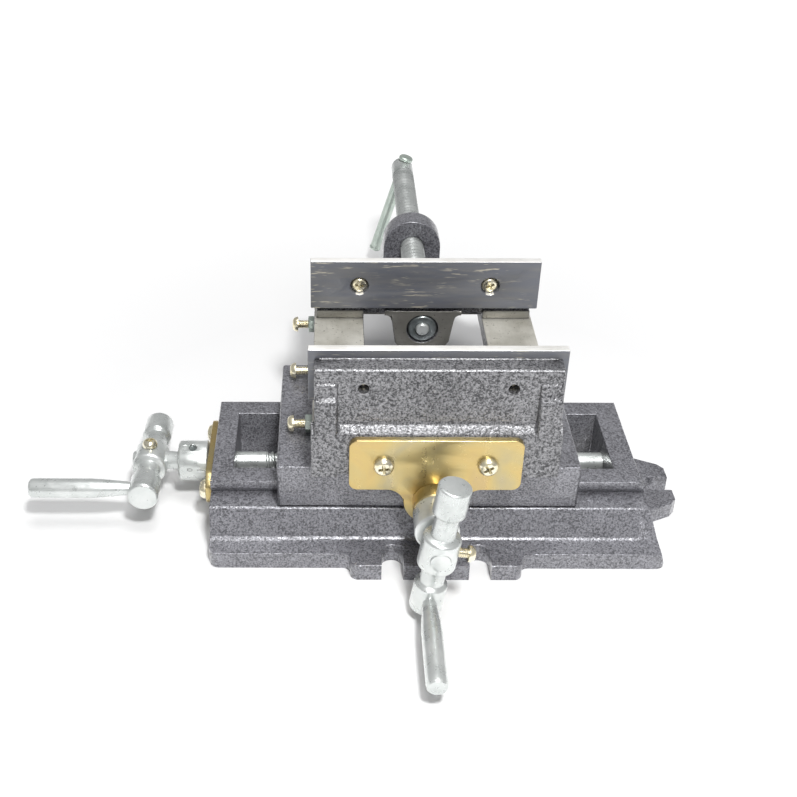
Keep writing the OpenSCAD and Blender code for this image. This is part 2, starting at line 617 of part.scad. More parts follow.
module nose_collar() color(zinc) jaw_place() translate([0, 0, vise_z]) rotate([-90, 0, 0]) rotate_extrude()
    polygon([[pin_r + 0.1, lug_y0 + 0.2], [nose_collar_r - 0.6, lug_y0 + 0.2], [nose_collar_r, lug_y0 + 0.8],
        [nose_collar_r, lug_y0 + nose_collar_l + 0.2], [pin_r + 0.1, lug_y0 + nose_collar_l + 0.2]]);

// Sliding bar, upper stop collar just above the spindle
module tommy_bar() color(olive) jaw_place()
    translate([0, bar_y, vise_z]) rotate([0, bar_lean, 0]) rotate_extrude() polygon([[0, -bar_down], [bar_r - 0.3, -bar_down],
        [bar_r + 0.4, -bar_down + 0.7], [bar_r + 0.4, -bar_down + 1.4], [bar_r, -bar_down + 2.4], [bar_r, vise_d / 2 + 0.2],
        [bar_r + 1, vise_d / 2 + 0.2], [bar_r + 1, vise_d / 2 + 1.6], [bar_r + 0.3, vise_d / 2 + 2.3], [0, vise_d / 2 + 2.3]]);

base_casting();
x_bracket();
x_bracket_screws();
x_leadscrew();
x_dial();
x_dial_screw();
x_crank_arm();
x_crank_handle();
x_crank_screw();
saddle_casting();
x_nut();
x_nut_bolt();
y_nut();
y_nut_bolt();
x_gib();
x_gib_screws();
x_gib_nuts();
vise_body_casting();
fixed_jaw_plate();
fixed_jaw_screws();
y_gib();
y_gib_screws();
y_gib_nuts();
y_bracket();
y_bracket_bush();
y_bracket_screws();
y_leadscrew();
y_dial();
y_dial_screw();
y_crank_arm();
y_crank_handle();
y_crank_screw();
moving_jaw_casting();
moving_jaw_plate();
moving_jaw_screws();
jaw_keepers();
keeper_screws();
vise_screw();
nose_collar();
tommy_bar();
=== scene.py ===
import math
import bmesh
import bpy
from mathutils import Matrix, Vector


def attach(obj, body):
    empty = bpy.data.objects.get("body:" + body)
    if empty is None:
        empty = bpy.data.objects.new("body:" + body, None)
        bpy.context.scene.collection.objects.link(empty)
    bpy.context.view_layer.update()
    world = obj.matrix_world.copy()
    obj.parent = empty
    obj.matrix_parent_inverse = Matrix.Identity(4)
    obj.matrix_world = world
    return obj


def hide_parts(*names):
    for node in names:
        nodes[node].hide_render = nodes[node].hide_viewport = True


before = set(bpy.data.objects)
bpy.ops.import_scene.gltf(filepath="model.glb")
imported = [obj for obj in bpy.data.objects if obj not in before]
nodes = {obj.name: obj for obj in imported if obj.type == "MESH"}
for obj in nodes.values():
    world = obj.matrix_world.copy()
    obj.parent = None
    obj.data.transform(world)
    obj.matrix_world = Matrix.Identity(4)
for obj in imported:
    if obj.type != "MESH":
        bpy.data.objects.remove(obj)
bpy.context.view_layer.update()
mm = 0.001
bodyX = -2.0  # centre line of the vise over the base, mm
sideFace, sideZ = -96.0, 17.0  # outer face of the side bracket and height of its leadscrew, mm
frontFace, frontZ = -48.5, 33.5  # the same for the front bracket
print("frame loaded:", len(nodes), "nodes")


# shader maths

class Wire:
    def __init__(self, owner, socket):
        self.owner = owner
        self.socket = socket

    def math(self, operation, other, flip=False):
        a, b = (other, self) if flip else (self, other)
        return self.owner.add("ShaderNodeMath", {"operation": operation}, {0: a, 1: b})

    def __add__(self, other):
        return self.math("ADD", other)

    def __radd__(self, other):
        return self.math("ADD", other, True)

    def __mul__(self, other):
        return self.math("MULTIPLY", other)

    def __rmul__(self, other):
        return self.math("MULTIPLY", other, True)


def setStops(ramp, stops):  # a stop's tone is a colour or one grey level
    while len(ramp.elements) < len(stops):
        ramp.elements.new(1.0)
    for stop, (place, tone) in zip(ramp.elements, stops):
        stop.position = place
        stop.color = (*tone, 1.0) if isinstance(tone, tuple) else (tone, tone, tone, 1.0)


class Shading:
    def __init__(self, tree):
        self.tree = tree

    def add(self, kind, settings=None, inputs=None, out=0):
        node = self.tree.nodes.new(kind)
        for key, value in (settings or {}).items():
            if key == "stops":
                setStops(node.color_ramp, value)
            else:
                setattr(node, key, value)
        for key, value in (inputs or {}).items():
            if isinstance(value, Wire):
                self.tree.links.new(value.socket, node.inputs[key])
            else:
                node.inputs[key].default_value = value
        return Wire(self, node.outputs[out])

    def ramp(self, wire, stops):
        return self.add("ShaderNodeValToRGB", {"stops": stops}, {"Fac": wire})

    def mix(self, amount, a, b):
        return self.add("ShaderNodeMix", {"data_type": "RGBA"}, {0: amount, 6: a, 7: b}, 2)


class Finish(Shading):
    def __init__(self, name, **sockets):
        self.material = bpy.data.materials.new(name)
        self.material.use_nodes = True
        super().__init__(self.material.node_tree)
        self.shader = self.tree.nodes["Principled BSDF"]
        for key, value in sockets.items():
            self.shader.inputs[key.replace("_", " ")].default_value = value

    def place(self, scale=(1, 1, 1)):
        coords = self.add("ShaderNodeTexCoord", out=3)
        return self.add("ShaderNodeMapping", {}, {"Vector": coords, "Scale": scale})

    def noise(self, scale, detail=2.0, rough=0.5, stretch=(1, 1, 1), warp=0.0):
        return self.add("ShaderNodeTexNoise", {}, {"Vector": self.place(stretch), "Scale": scale,
                        "Detail": detail, "Roughness": rough, "Distortion": warp})

    def bump(self, height, strength, depth):
        return self.add("ShaderNodeBump", {}, {"Height": height, "Strength": strength,
                        "Distance": depth * mm})

    def feed(self, **wires):
        for key, wire in wires.items():
            self.tree.links.new(wire.socket, self.shader.inputs[key.replace("_", " ")])
        return self.material


# finishes

# body tones are a darker copy of the base tones for the same paint: painted shade on the vise body and moving
# jaw
paintLook = {"blotch": 1350, "lump": 620, "cloud": 60,
             "body": {"pit": (0.025, 0.025, 0.028), "skin": (0.101, 0.101, 0.106),
                      "crest": (0.222, 0.222, 0.232), "bump": 0.6},
             "base": {"pit": (0.064, 0.064, 0.071), "skin": (0.138, 0.138, 0.152),
                      "crest": (0.226, 0.226, 0.246), "bump": 0.5}}


def hammeredPaint(name, tones):
    f = Finish(name, Metallic=0.35, Specular_IOR_Level=0.6, Coat_Roughness=0.16)
    blotch = f.noise(paintLook["blotch"], warp=0.5)
    lump = f.noise(paintLook["lump"])
    cloud = f.noise(paintLook["cloud"])
    height = blotch * 0.55 + lump * 0.6
    tone = blotch * 0.65 + lump * 0.25 + cloud * 0.1
    colour = f.ramp(tone, [(0.42, tones["pit"]), (0.485, tones["skin"]), (0.63, tones["crest"])])
    rough = f.ramp(lump, [(0.3, 0.42), (0.7, 0.26)])
    coat = f.ramp(blotch, [(0.4, 0.15), (0.65, 0.6)])
    hammered = f.bump(height, tones["bump"], 0.5)
    return f.feed(Base_Color=colour, Roughness=rough, Coat_Weight=coat, Normal=hammered)


railLook = {"bare": (0.42, 0.405, 0.355), "worn": (0.60, 0.585, 0.53), "stain": (0.20, 0.185, 0.155)}


def machinedIron(name, along, shade=1.0):
    f = Finish(name, Metallic=0.55, Specular_IOR_Level=0.5)
    stretch = tuple(0.035 if axis == along else 1.0 for axis in "xyz")
    cut = f.noise(1500, 3.0, 0.6, stretch)
    cloud = f.noise(70, 4.0, 0.6)
    speck = f.noise(900, 1.0)
    bare, worn, stain = [tuple(c * shade for c in railLook[key]) + (1,) for key in ("bare", "worn", "stain")]
    skin = f.mix(f.ramp(cloud, [(0.35, 0.0), (0.65, 1.0)]), bare, worn)
    pits = f.ramp(speck, [(0.68, 0.0), (0.74, 0.8)])
    colour = f.mix(pits, skin, stain)
    rough = f.ramp(cut, [(0.3, 0.34), (0.7, 0.56)])
    return f.feed(Base_Color=colour, Roughness=rough, Normal=f.bump(cut, 0.35, 0.05))


plateLook = {"face": (0.106, 0.111, 0.127), "cloud": (0.138, 0.137, 0.136), "scratch": (0.40, 0.37, 0.30)}


def slateSteel():
    f = Finish("slateSteel", Metallic=0.25, Specular_IOR_Level=0.5)
    streak = f.noise(420, 4.0, 0.65, (0.14, 1, 1))
    zone = f.noise(42, 3.0, 0.6)
    scratch = f.noise(1150, 2.0, 0.6, (0.10, 1, 1))
    face, cloud, bare = [(*plateLook[key], 1) for key in ("face", "cloud", "scratch")]
    skin = f.mix(f.ramp(streak, [(0.42, 0.0), (0.68, 0.8)]), face, cloud)
    worn = f.ramp(scratch, [(0.60, 0.0), (0.67, 1.0)]) * f.ramp(zone, [(0.44, 0.0), (0.60, 0.85)])
    colour = f.mix(worn, skin, bare)
    rough = f.ramp(streak, [(0.35, 0.42), (0.7, 0.58)])
    return f.feed(Base_Color=colour, Roughness=rough, Normal=f.bump(scratch * 0.5 + streak * 0.5, 0.3, 0.1))


def groundSteel():
    f = Finish("groundSteel", Metallic=0.5, Specular_IOR_Level=0.5)
    scratch = f.noise(1700, 2.0, 0.6, (0.03, 1, 1))
    cloud = f.noise(60, 3.0, 0.6)
    colour = f.ramp(cloud, [(0.3, (0.66, 0.645, 0.61)), (0.6, (0.82, 0.81, 0.785))])
    rough = f.ramp(scratch, [(0.3, 0.26), (0.7, 0.46)])
    return f.feed(Base_Color=colour, Roughness=rough, Normal=f.bump(scratch, 0.25, 0.04))


def yellowZinc():
    f = Finish("yellowZinc", Metallic=0.92, Specular_IOR_Level=0.5)
    tint = f.noise(38, 3.0, 0.55, warp=1.2)
    fine = f.noise(900, 3.0, 0.6)
    scratch = f.noise(420, stretch=(1, 1, 0.06))
    colour = f.ramp(tint, [(0.3, (0.36, 0.31, 0.185)), (0.45, (0.42, 0.335, 0.155)),
                           (0.58, (0.445, 0.335, 0.14)), (0.72, (0.405, 0.305, 0.155))])
    rough = f.ramp(fine * 0.5 + scratch * 0.5, [(0.3, 0.24), (0.7, 0.38)])
    return f.feed(Base_Color=colour, Roughness=rough, Normal=f.bump(scratch, 0.06, 0.03))


def paleZinc():
    f = Finish("paleZinc", Metallic=0.92, Specular_IOR_Level=0.5)
    tint = f.noise(160, 3.0, 0.55, warp=0.8)
    colour = f.ramp(tint, [(0.3, (0.60, 0.57, 0.48)), (0.5, (0.70, 0.65, 0.49)), (0.7, (0.74, 0.66, 0.44))])
    return f.feed(Base_Color=colour, Roughness=f.ramp(tint, [(0.3, 0.2), (0.7, 0.34)]))


zincLook = ((0.3, (0.40, 0.42, 0.41)), (0.5, (0.49, 0.51, 0.50)), (0.7, (0.57, 0.585, 0.575)))


def brightZinc(name, shade=1.0):
    f = Finish(name, Metallic=0.66, Specular_IOR_Level=0.5)
    cloud = f.noise(90, 4.0, 0.6)
    drawn = f.noise(420)
    colour = f.ramp(cloud, [(place, tuple(c * shade for c in tone)) for place, tone in zincLook])
    rough = f.ramp(cloud * 0.5 + drawn * 0.5, [(0.3, 0.20), (0.7, 0.42)])
    return f.feed(Base_Color=colour, Roughness=rough, Normal=f.bump(drawn, 0.05, 0.05))


def oliveZinc():
    f = Finish("oliveZinc", Metallic=0.85, Specular_IOR_Level=0.5)
    cloud = f.noise(110, 4.0, 0.6)
    fine = f.noise(1100, 2.0, 0.6)
    colour = f.ramp(cloud, [(0.3, (0.36, 0.42, 0.38)), (0.6, (0.50, 0.56, 0.51)), (0.75, (0.58, 0.62, 0.57))])
    rough = f.ramp(fine, [(0.3, 0.3), (0.7, 0.48)])
    return f.feed(Base_Color=colour, Roughness=rough, Normal=f.bump(fine, 0.2, 0.05))


def darkMark():
    f = Finish("darkMark", Metallic=0.2)
    fine = f.noise(1500)
    return f.feed(Base_Color=f.ramp(fine, [(0.3, (0.05, 0.05, 0.052)), (0.7, (0.12, 0.12, 0.12))]),
                  Roughness=f.ramp(fine, [(0.3, 0.5), (0.7, 0.7)]))


# dark zinc for the nose collar and dial screws, also used as painted shade at the root of the vise screw's
# thread
def darkZincAndGrooveShade():
    f = Finish("darkZincAndGrooveShade", Metallic=0.8, Specular_IOR_Level=0.5)
    cloud = f.noise(140, 4.0, 0.6)
    colour = f.ramp(cloud, [(0.35, (0.10, 0.115, 0.115)), (0.65, (0.22, 0.24, 0.24))])
    return f.feed(Base_Color=colour, Roughness=f.ramp(cloud, [(0.3, 0.24), (0.7, 0.4)]))


# the vise body and moving jaw get the darker copy, painted shade; the base, saddle and the vise's arch get
# the lighter one
shadedPaint = hammeredPaint("hammeredPaint", paintLook["body"])
basePaint = hammeredPaint("basePaint", paintLook["base"])
railIron = machinedIron("railIron", "y")
gibIron = machinedIron("gibIron", "x")
footIron = machinedIron("footIron", "x", 0.33)
slate = slateSteel()
ground = groundSteel()
yellow = yellowZinc()
pale = paleZinc()
bright = brightZinc("brightZinc")
dull = brightZinc("dullZinc", 0.8)
olive = oliveZinc()
darkZinc = darkZincAndGrooveShade()
mark = darkMark()
print("finishes ready")


# mesh tools, all in mm until a piece is made

def slicePlane(bm, place, way, near, drop=False):  # drop takes away what lies beyond the plane
    geom = bm.verts[:] + bm.edges[:] + bm.faces[:]
    bmesh.ops.bisect_plane(bm, geom=geom, dist=near, plane_co=place, plane_no=way, clear_outer=drop)


def cadCopy(node, slices=()):
    bm = bmesh.new()
    bm.from_mesh(nodes[node].data)
    bmesh.ops.scale(bm, vec=(1000, 1000, 1000), verts=bm.verts)
    bmesh.ops.remove_doubles(bm, verts=bm.verts, dist=0.002)
    bmesh.ops.dissolve_limit(bm, angle_limit=math.radians(1.0), verts=bm.verts, edges=bm.edges)
    for place, way in slices:
        slicePlane(bm, place, way, 1e-4)
    return bm


def sharpEdges(bm, degrees):
    least = math.radians(degrees)
    return [e for e in bm.edges if len(e.link_faces) == 2 and e.calc_face_angle(0.0) > least]


def openEdges(bm):
    return [e for e in bm.edges if len(e.link_faces) == 1]


def neighbours(edge):
    for corner in edge.verts:
        way = edge.other_vert(corner).co - corner.co
        for other in {e for face in edge.link_faces for e in face.edges if e != edge and corner in e.verts}:
            side = other.other_vert(corner).co - corner.co
            yield way, side, way.angle(side, 0.0)


def roomFor(edge, radius):
    for way, side, turn in neighbours(edge):
        bend = math.pi - turn
        if bend > math.radians(30):
            radius = min(radius, 0.44 * side.length * math.sin(turn))
        elif bend > math.radians(2):  # a curve: stay under its radius
            radius = min(radius, 0.3 * min(way.length, side.length) / math.tan(bend / 2))
    return radius


def weighEdges(bm, look):  # a later box of rounds goes over an earlier one
    layer = bm.edges.layers.float.new("bevel_weight_edge")
    for edge in sharpEdges(bm, 18):
        middle = (edge.verts[0].co + edge.verts[1].co) / 2
        radius = look["edge"]
        for low, high, wide in look.get("rounds", ()):
            if all(a <= m <= b for a, m, b in zip(low, middle, high)):
                radius = wide
        room = roomFor(edge, radius)
        edge[layer] = room / look["widest"]
        edge.smooth = room > 0.02


def bevelEdges(bm, edges, width):
    bmesh.ops.bevel(bm, geom=edges, offset=width, offset_type="OFFSET", segments=2, profile=0.5,
                    affect="EDGES", material=-1, clamp_overlap=True)
    return bm


def lathe(profile, steps=64):
    bm = bmesh.new()
    verts = [bm.verts.new((r, 0, z)) for r, z in profile]
    edges = [bm.edges.new(pair) for pair in zip(verts, verts[1:])]
    bmesh.ops.spin(bm, geom=verts + edges, cent=(0, 0, 0), axis=(0, 0, 1), dvec=(0, 0, 0),
                   angle=2 * math.pi, steps=steps, use_merge=True, use_duplicate=False)
    bmesh.ops.remove_doubles(bm, verts=bm.verts, dist=1e-4)
    bmesh.ops.recalc_face_normals(bm, faces=bm.faces)
    return bm


def thread(radius, depth, pitch, low, high, steps=28):
    bm = bmesh.new()
    core = radius - depth
    start = low - pitch
    rise = [(core, 0.0), (core, 0.14), (radius, 0.42), (radius, 0.58), (core, 0.86), (core, 1.0)]
    verts = [bm.verts.new((r, 0, start + share * pitch)) for r, share in rise]
    edges = [bm.edges.new(pair) for pair in zip(verts, verts[1:])]
    bmesh.ops.spin(bm, geom=verts + edges, cent=(0, 0, 0), axis=(0, 0, 1), dvec=(0, 0, pitch / steps),
                   angle=2 * math.pi, steps=steps, use_merge=False, use_duplicate=False)
    turns = 1
    while turns * pitch < high - low + 2 * pitch:  # one turn, doubled until it is long enough
        extra = bmesh.ops.duplicate(bm, geom=bm.verts[:] + bm.edges[:] + bm.faces[:])["geom"]
        moved = [g for g in extra if isinstance(g, bmesh.types.BMVert)]
        bmesh.ops.translate(bm, vec=(0, 0, turns * pitch), verts=moved)
        turns *= 2
    bmesh.ops.remove_doubles(bm, verts=bm.verts, dist=1e-3)
    for z, up in ((low, -1), (high, 1)):
        slicePlane(bm, (0, 0, z), (0, 0, up), 1e-5, True)
    bmesh.ops.holes_fill(bm, edges=openEdges(bm), sides=0)
    bmesh.ops.recalc_face_normals(bm, faces=bm.faces)
    return bm


def crossReach(angle, arm, half):
    lean = abs((angle + math.pi / 4) % (math.pi / 2) - math.pi / 4)
    return min(arm, half / max(math.sin(lean), 1e-6))


def panScrew(radius, length, head, height, tip=None, threadPitch=None):  # tip is its radius and length
    dome = [(0.6, 0.95), (0.74, 0.86), (0.88, 0.66), (0.97, 0.4), (1.0, 0.18), (1.0, 0.0)]
    profile = [(r * head, z * height) for r, z in dome]
    core = radius * 0.86 if threadPitch else radius
    if tip:
        point, neck = tip[0], tip[1] - length
        tail = [(core, 0.0), (core, neck + 0.3), (core - 0.3, neck), (point, neck),
                (point, 0.2 - length), (point - 0.2, -length), (0.0, -length)]
    else:
        neck = -length
        tail = [(core, 0.0), (core, 0.4 - length), (core - 0.4, -length), (0.0, -length)]
    bm = lathe(profile + tail, 48)
    rim = openEdges(bm)
    arm, half = 0.53 * head, 0.15 * head
    for shrink, z in ((1.0, 0.985 * height), (0.9, 0.8 * height), (0.5, 0.2 * height)):  # cross recess
        made = bmesh.ops.extrude_edge_only(bm, edges=rim)["geom"]
        rim = [g for g in made if isinstance(g, bmesh.types.BMEdge)]
        for v in [g for g in made if isinstance(g, bmesh.types.BMVert)]:
            angle = math.atan2(v.co.y, v.co.x)
            reach = crossReach(angle, arm, half) * shrink
            v.co = (reach * math.cos(angle), reach * math.sin(angle), z)
    bmesh.ops.holes_fill(bm, edges=rim, sides=0)
    bmesh.ops.recalc_face_normals(bm, faces=bm.faces)
    if threadPitch:
        join(bm, thread(radius, radius * 0.15, threadPitch, neck + 0.5, -0.2, 20))
    return bm


def hexNut(flat, height):
    bm = bmesh.new()
    reach = flat / 2 / math.cos(math.pi / 6)
    bmesh.ops.create_cone(bm, cap_ends=True, cap_tris=False, segments=6, radius1=reach, radius2=reach,
                          depth=height)
    bmesh.ops.translate(bm, vec=(0, 0, height / 2), verts=bm.verts)
    ends = [f for f in bm.faces if len(f.verts) == 6]
    bmesh.ops.inset_region(bm, faces=ends, thickness=flat * 0.06, depth=0.0, use_even_offset=True)
    sides = [e for e in sharpEdges(bm, 60) if abs(e.verts[0].co.z - e.verts[1].co.z) < 1e-4]
    return bevelEdges(bm, sides, flat * 0.055)


def join(target, extra):
    holder = bpy.data.meshes.new("holder")
    extra.to_mesh(holder)
    extra.free()
    target.from_mesh(holder)
    bpy.data.meshes.remove(holder)
    return target


def swing(degrees, axis):
    return Matrix.Rotation(math.radians(degrees), 4, axis)


def along(axis, origin, roll=0.0):
    turn = Vector(axis).normalized().to_track_quat("Z", "Y").to_matrix().to_4x4()
    return Matrix.Translation(origin) @ turn @ swing(roll, "Z")


def put(bm, matrix):
    bmesh.ops.transform(bm, matrix=matrix, verts=bm.verts)
    return bm


def addObject(name, data):
    obj = bpy.data.objects.new(name, data)
    bpy.context.scene.collection.objects.link(obj)
    return obj


def makePiece(bm, name, body, replaced, finishes, look=None, smooth=34, pick=None):
    if pick:  # faces that carry another finish
        for face in bm.faces:
            face.material_index = pick(face.calc_center_median(), face.normal)
    if look:
        weighEdges(bm, look)
    bmesh.ops.scale(bm, vec=(mm, mm, mm), verts=bm.verts)
    mesh = bpy.data.meshes.new(name)
    bm.to_mesh(mesh)
    bm.free()
    for polygon in mesh.polygons:
        polygon.use_smooth = True
    obj = addObject(name, mesh)
    for finish in finishes:
        mesh.materials.append(finish)
    if look:
        mod = obj.modifiers.new("softEdges", "BEVEL")
        mod.limit_method = "WEIGHT"
        mod.width = look["widest"] * mm
        mod.segments = look["segments"]
        mod.profile = 0.5
        mod.use_clamp_overlap = False
        mod.loop_slide = False
        mod.harden_normals = True
    else:
        mesh.set_sharp_from_angle(angle=math.radians(smooth))
    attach(obj, body)
    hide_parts(*replaced)
    return obj


# castings: rounds are boxes, each with the radius of the edges inside it

def bothSides(*boxes):  # each box and its mirror image across Y
    for low, high, wide in boxes:
        yield low, high, wide
        yield (low[0], -high[1], low[2]), (high[0], -low[1], high[2]), wide


baseLook = {"edge": 0.5, "widest": 3.0, "segments": 3,
            "rounds": [*bothSides(((-120, 48, 7), (120, 53, 8), 0.0), ((-120, 41, 8), (120, 44, 10), 1.6),
                                  ((-120, 37, 21), (120, 42.5, 24), 1.0),
                                  ((-23.2, 46, 1), (23.2, 60, 8), 0.0)),
                       ((-120, -29, 21), (120, 29, 23), 0.0), ((-120, -70, -1), (120, 70, 0.2), 0.0),
                       ((-94, -70, -1), (-92, 70, 27), 0.0), ((84, -70, -1), (120, 70, 27), 0.0),
                       ((95.4, -60, 7), (120, 60, 8), 0.5)],
            "slices": [((x, 0, 0), (1, 0, 0)) for x in (-46, 46, 84)],
            "beadSpans": ((-91.5, -40.0), (40.0, 84.0)), "beadY": 50.68, "beadZ": 7.26, "beadRadius": 0.4}


def bead(low, high, y, z, r):  # a painted ridge along X with round ends
    ends = [(0, low), (0.7 * r, low + 0.3 * r), (r, low + r),
            (r, high - r), (0.7 * r, high - 0.3 * r), (0, high)]
    return put(lathe(ends, 24), along((1, 0, 0), (0, y, z)))


baseBody = cadCopy("base_casting", baseLook["slices"])
for low, high in baseLook["beadSpans"]:
    for side in (-1, 1):
        ridge = bead(low, high, side * baseLook["beadY"], baseLook["beadZ"], baseLook["beadRadius"])
        join(baseBody, ridge)
makePiece(baseBody, "baseBody", "base", ["base_casting"], [basePaint], baseLook)

saddleLook = {"edge": 0.5, "widest": 2.0, "segments": 3,
              "rounds": [((-80, -45, 24), (-60, 45, 50), 1.2), ((54, -45, 24), (70, 45, 50), 1.2),
                         ((-70, -36, 20), (70, 36, 33), 0.0)]}
makePiece(cadCopy("saddle_casting"), "saddleBody", "saddle", ["saddle_casting"], [basePaint],
          saddleLook)

viseLook = {"edge": 0.5, "widest": 3.0, "segments": 3, "railTop": 65.0, "arch": 96.0, "wallTop": 90.9,
            "beadSpan": (-48.0, 44.0), "beadY": -34.0, "beadRadius": 0.6,
            "rounds": [((-60, -47, 60), (60, -41, 92), 1.2), ((-46, -43, 40), (42, 96, 51.5), 0.0),
                       ((-60, -35, 90), (60, -33, 92), 0.0), ((-34, -42.5, 79), (-27, -33, 86), 0.0),
                       ((23, -42.5, 79), (30, -33, 86), 0.0)],
            "slices": [((x, 0, 0), (1, 0, 0)) for x in (-30.6, 26.6)]}


# the arch of the vise body takes the lighter base paint: painted light on that end, with its milder speckle
def visePick(centre, normal):
    onRail = normal.z > 0.9 and abs(centre.z - viseLook["railTop"]) < 0.1
    return 1 if onRail else 2 if centre.y > viseLook["arch"] else 0


viseBody = cadCopy("vise_body_casting", viseLook["slices"])
join(viseBody, bead(*viseLook["beadSpan"], viseLook["beadY"], viseLook["wallTop"], viseLook["beadRadius"]))
makePiece(viseBody, "viseBody", "vise_body", ["vise_body_casting"],
          [shadedPaint, railIron, basePaint], viseLook, pick=visePick)

jawLook = {"edge": 0.5, "widest": 2.0, "segments": 3, "lugFace": 41.0, "footTop": 71.0,
           "rounds": [((-60, 44, 66), (60, 90, 92), 1.4), ((-60, 43.2, 40), (60, 83, 69.8), 0.0),
                      ((-36, 43.5, 76), (32, 58, 89), 0.0)]}


def jawPick(centre, normal):
    machined = abs(centre.y - jawLook["lugFace"]) < 0.2 or centre.z < jawLook["footTop"]
    return 1 if normal.y < -0.9 and machined else 0


makePiece(cadCopy("moving_jaw_casting"), "slidingJaw", "moving_jaw", ["moving_jaw_casting"],
          [shadedPaint, footIron], jawLook, pick=jawPick)
print("castings made")


# jaw plates

jawPlateLook = {"edge": 0.35, "widest": 0.5, "segments": 2}


def platePick(centre, normal):
    return 1 if normal.z > 0.9 else 0


for node, body, name in (("fixed_jaw_plate", "vise_body", "fixedPlate"),
                         ("moving_jaw_plate", "moving_jaw", "slidingPlate")):
    makePiece(cadCopy(node), name, body, [node], [slate, ground], jawPlateLook, pick=platePick)
print("jaw plates made")


# brackets

bracketLook = {"edge": 0.3, "widest": 0.6, "segments": 3, "reach": 16.6, "round": 8.0,
               "slices": (-3.0, 0.0, 3.0)}
sideBracket = cadCopy("x_bracket", [((0, 0, sideZ + rise), (0, 0, 1)) for rise in bracketLook["slices"]])
for v in sideBracket.verts:  # round ends about the screws
    rise = v.co.z - sideZ
    limit = bracketLook["reach"] + math.sqrt(max(bracketLook["round"] ** 2 - rise ** 2, 0.0))
    v.co.y = max(-limit, min(limit, v.co.y))
makePiece(sideBracket, "sideBracket", "base", ["x_bracket"], [yellow], bracketLook)
for node, name in (("y_bracket", "frontBracket"), ("y_bracket_bush", "frontBush")):
    makePiece(cadCopy(node), name, "vise_body", [node], [yellow], bracketLook)
print("brackets made")


# screws and nuts: each place is a seat, the axis of the head and its roll
# a screw has radius, length, head radius, head height, tip and pitch, a nut its flats and height

def screwSet(name, body, node, finish, make, sizes, places):
    bm = bmesh.new()
    for origin, axis, roll in places:
        join(bm, put(make(*sizes), along(axis, origin, roll)))
    return makePiece(bm, name, body, [node], [finish], smooth=38)


screwLook = {"sideBracket": (2.5, 10, 4.1, 2.8), "frontBracket": (2.5, 6.2, 4.1, 2.8),
             "fixedPlate": (2.0, 5.0, 3.7, 2.0), "slidingPlate": (2.0, 8.0, 3.7, 2.0),
             "sideGib": (2.0, 16.6, 3.5, 2.6, (1.2, 2.6), 0.7), "sideNut": (6.6, 3.2),
             "rearGib": (1.5, 14.8, 2.8, 2.2, (1.2, 2.6), 0.5), "rearNut": (5.5, 2.4),
             "bracketHalf": 20.4, "bracketTop": 51.0,
             "padHalf": 28.6, "padZ": 82.5, "fixedSeat": -32.0, "slidingSeat": 42.2,
             "gibZ": 46.8, "gibRows": (-14.0, 27.0, 68.0), "gibSeat": -58.5, "gibNutSeat": -50.5,
             "rearZ": 25.8, "rearRows": (-41.5, -16.5, 34.5), "rearSeat": 46.5, "rearNutSeat": 38.5}
s = screwLook
screwSet("sideBracketScrews", "base", "x_bracket_screws", pale, panScrew, s["sideBracket"],
         [((sideFace, k * s["bracketHalf"], sideZ), (-1, 0, 0), 20 * k + 10) for k in (-1, 1)])
screwSet("frontBracketScrews", "vise_body", "y_bracket_screws", pale, panScrew,
         s["frontBracket"],
         [((bodyX + k * s["bracketHalf"], frontFace, s["bracketTop"]), (0, -1, 0), 12 * k + 20)
          for k in (-1, 1)])
screwSet("fixedPlateScrews", "vise_body", "fixed_jaw_screws", pale, panScrew, s["fixedPlate"],
         [((bodyX + k * s["padHalf"], s["fixedSeat"], s["padZ"]), (0, 1, 0), 25 * k) for k in (-1, 1)])
screwSet("slidingPlateScrews", "moving_jaw", "moving_jaw_screws", pale, panScrew,
         s["slidingPlate"],
         [((bodyX + k * s["padHalf"], s["slidingSeat"], s["padZ"]), (0, -1, 0), 15 * k + 8)
          for k in (-1, 1)])
screwSet("sideGibScrews", "vise_body", "y_gib_screws", pale, panScrew, s["sideGib"],
         [((s["gibSeat"], y, s["gibZ"]), (-1, 0, 0), 17 * y) for y in s["gibRows"]])
screwSet("rearGibScrews", "saddle", "x_gib_screws", pale, panScrew, s["rearGib"],
         [((x, s["rearSeat"], s["rearZ"]), (0, 1, 0), 13 * x) for x in s["rearRows"]])
screwSet("sideGibNuts", "vise_body", "y_gib_nuts", olive, hexNut, s["sideNut"],
         [((s["gibNutSeat"], y, s["gibZ"]), (-1, 0, 0), 11 * y) for y in s["gibRows"][::2]])
screwSet("rearGibNuts", "saddle", "x_gib_nuts", olive, hexNut, s["rearNut"],
         [((x, s["rearNutSeat"], s["rearZ"]), (0, 1, 0), 0) for x in s["rearRows"]])
print("screws made")


# leadscrews along local Z, bracket face at 0 and the crank end above

leadLook = {"radius": 4.0, "pitch": 2.5, "depth": 0.8, "collar": 6.5, "collarSpan": (-6.8, -3.2),
            "side": {"inner": 178, "outer": 33.8, "plain": 25.2, "tail": 157},
            "front": {"inner": 96, "outer": 37.3, "plain": 14.0, "tail": 93}}


def leadscrew(inner, outer, plain, tail):
    r, c = leadLook["radius"], leadLook["collar"]
    core = r - leadLook["depth"]
    low, high = leadLook["collarSpan"]
    rod = lathe([(0, -plain), (core, -plain), (r, -plain + 0.6), (r, low), (c - 0.4, low), (c, low + 0.4),
                 (c, high - 0.4), (c - 0.4, high), (r, high), (r, outer - 0.7), (r - 0.2, outer - 0.2),
                 (r - 0.7, outer), (0, outer)])
    join(rod, thread(r, leadLook["depth"], leadLook["pitch"], -tail, -plain + 0.3))
    join(rod, lathe([(0, -inner), (core, -inner), (r, -inner + 0.8), (r, -tail - 0.4),
                     (core, -tail + 0.2), (0, -tail + 0.2)]))
    return rod


